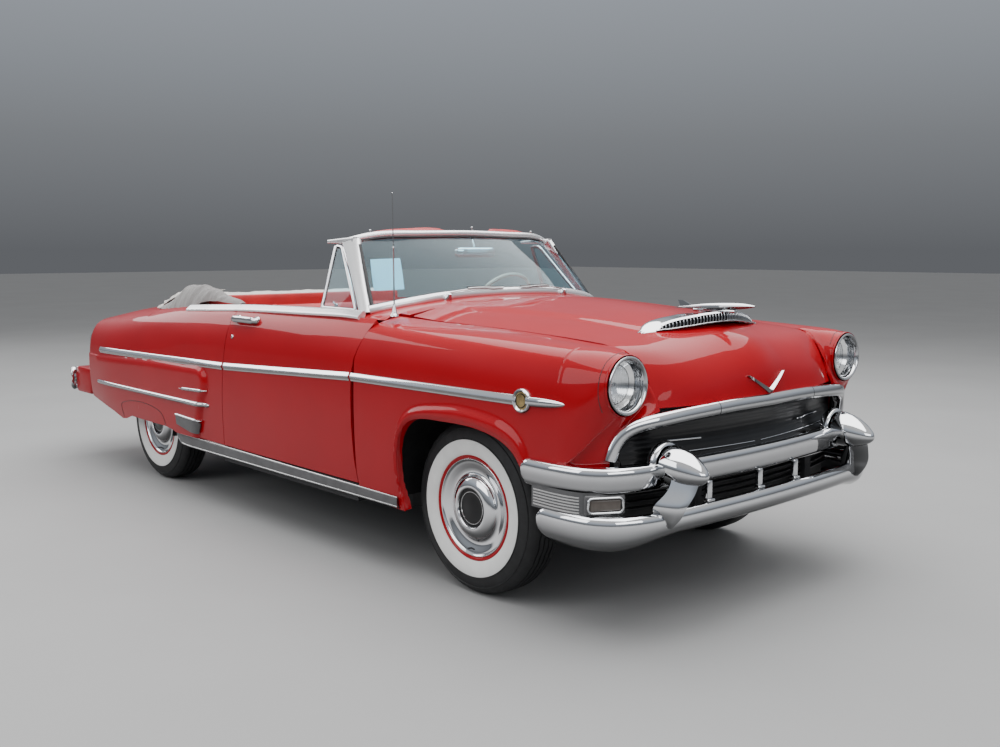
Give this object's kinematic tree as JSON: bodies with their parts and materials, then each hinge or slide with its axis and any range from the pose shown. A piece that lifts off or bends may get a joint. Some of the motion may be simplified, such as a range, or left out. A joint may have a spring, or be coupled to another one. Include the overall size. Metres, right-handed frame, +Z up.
{
  "type": "convertible car",
  "caption": "Two-door 1950s convertible with its top folded: hinged doors, hood and trunk lid, steered front wheels, chrome bumpers and whitewall tyres.",
  "frame": {"origin": "centre of the footprint box, on the ground under the tyres", "axes": "+Z up, the car's front faces -Y, +X is the car's left side"},
  "size_m": [1.89, 5.236, 1.67],
  "materials": {
    "body_paint": "gloss red enamel",
    "chrome": "polished",
    "grille_black": "gloss black",
    "lamp_grey": "satin grey",
    "tail_lens": "clear red",
    "glass": "clear with a light green tint",
    "dash_paint": "gloss red enamel",
    "column_steel": "satin",
    "wheel_cream": "gloss cream",
    "chassis_black": "satin black",
    "engine_iron": "rough",
    "exhaust_steel": "dull",
    "red_vinyl": "satin red",
    "top_fabric": "grey cloth",
    "tyre_rubber": "black with a white sidewall band",
    "wheel_chrome": "polished cap on a red rim"
  },
  "bodies": {
    "body": {"front_fender_left": "body_paint", "front_fender_right": "body_paint", "quarter_panel_left": "body_paint", "quarter_panel_right": "body_paint", "rear_deck": "body_paint", "tail_panel": "body_paint", "cowl": "body_paint", "grille_surround": "chrome", "front_bumper": "chrome", "rear_bumper": "chrome", "windshield_frame": "chrome", "headlamps": "chrome", "antenna": "chrome", "grille": "grille_black", "parking_lamps": "lamp_grey", "tail_lamps": "tail_lens", "windshield_glass": "glass", "dashboard": "dash_paint", "steering_column": "column_steel", "rear_axle": "column_steel", "chassis_frame": "chassis_black", "bumper_irons": "chassis_black", "front_suspension": "chassis_black", "floor_pan": "chassis_black", "tunnel": "chassis_black", "sills": "chassis_black", "chassis_x_brace": "chassis_black", "fuel_tank": "chassis_black", "driveline": "chassis_black", "engine": "engine_iron", "exhaust": "exhaust_steel", "front_seat": "red_vinyl", "rear_seat": "red_vinyl", "folded_top": "top_fabric"},
    "knuckle_right": {"knuckle_right": "column_steel"},
    "knuckle_left": {"knuckle_left": "column_steel"},
    "wheel_front_right": {"tyre_front_right": "tyre_rubber", "wheel_front_right": "wheel_chrome"},
    "wheel_front_left": {"tyre_front_left": "tyre_rubber", "wheel_front_left": "wheel_chrome"},
    "wheel_rear_right": {"tyre_rear_right": "tyre_rubber", "wheel_rear_right": "wheel_chrome"},
    "wheel_rear_left": {"tyre_rear_left": "tyre_rubber", "wheel_rear_left": "wheel_chrome"},
    "steering_wheel": {"steering_wheel": "wheel_cream"},
    "track_rod": {"track_rod": "column_steel"},
    "door_right": {"door_right": "body_paint", "vent_window_right": "glass"},
    "door_left": {"door_left": "body_paint", "vent_window_left": "glass"},
    "hood": {"hood": "body_paint", "hood_scoop": "chrome"},
    "trunk_lid": {"trunk_lid": "body_paint"}
  },
  "joints": [
    {"name": "steering_wheel_turn", "type": "hinge", "parent": "body", "child": "steering_wheel", "pos_m": [0.38, -0.473, 1.097], "axis": [0, 0.866, 0.5], "range_deg": [-810, 810]},
    {"name": "steer_left", "type": "hinge", "parent": "body", "child": "knuckle_left", "pos_m": [0.61, -1.6115, 0.363], "axis": [0, 0, 1], "range_deg": [-30.5, 30.5]},
    {"name": "steer_right", "type": "hinge", "parent": "body", "child": "knuckle_right", "pos_m": [-0.61, -1.6115, 0.363], "axis": [0, 0, 1], "range_deg": [-30.5, 30.5]},
    {"name": "track_rod_slide", "type": "slide", "parent": "body", "child": "track_rod", "axis": [1, 0, 0], "range_m": [-0.078, 0.078]},
    {"name": "spin_front_left", "type": "hinge", "parent": "knuckle_left", "child": "wheel_front_left", "pos_m": [0.7365, -1.6115, 0.363], "axis": [1, 0, 0], "continuous": true},
    {"name": "spin_rear_left", "type": "hinge", "parent": "body", "child": "wheel_rear_left", "pos_m": [0.711, 1.3855, 0.363], "axis": [1, 0, 0], "continuous": true},
    {"name": "spin_front_right", "type": "hinge", "parent": "knuckle_right", "child": "wheel_front_right", "pos_m": [-0.7365, -1.6115, 0.363], "axis": [1, 0, 0], "continuous": true},
    {"name": "spin_rear_right", "type": "hinge", "parent": "body", "child": "wheel_rear_right", "pos_m": [-0.711, 1.3855, 0.363], "axis": [1, 0, 0], "continuous": true},
    {"name": "door_left_hinge", "type": "hinge", "parent": "body", "child": "door_left", "pos_m": [0.94, -0.903, 0.7], "axis": [0, 0, -1], "range_deg": [0, 65]},
    {"name": "door_right_hinge", "type": "hinge", "parent": "body", "child": "door_right", "pos_m": [-0.94, -0.903, 0.7], "axis": [0, 0, 1], "range_deg": [0, 65]},
    {"name": "hood_hinge", "type": "hinge", "parent": "body", "child": "hood", "pos_m": [0, -1.062, 1.203], "axis": [-1, 0, 0], "range_deg": [0, 45]},
    {"name": "trunk_hinge", "type": "hinge", "parent": "body", "child": "trunk_lid", "pos_m": [0, 1.524, 1.115], "axis": [1, 0, 0], "range_deg": [0, 60]}
  ],
  "couplings": [
    {"joint": "steer_left", "follows": "steering_wheel_turn", "ratio": 0.037037},
    {"joint": "steer_right", "follows": "steering_wheel_turn", "ratio": 0.037037},
    {"joint": "track_rod_slide", "follows": "steering_wheel_turn", "m_per_rad": -0.0053148}
  ]
}
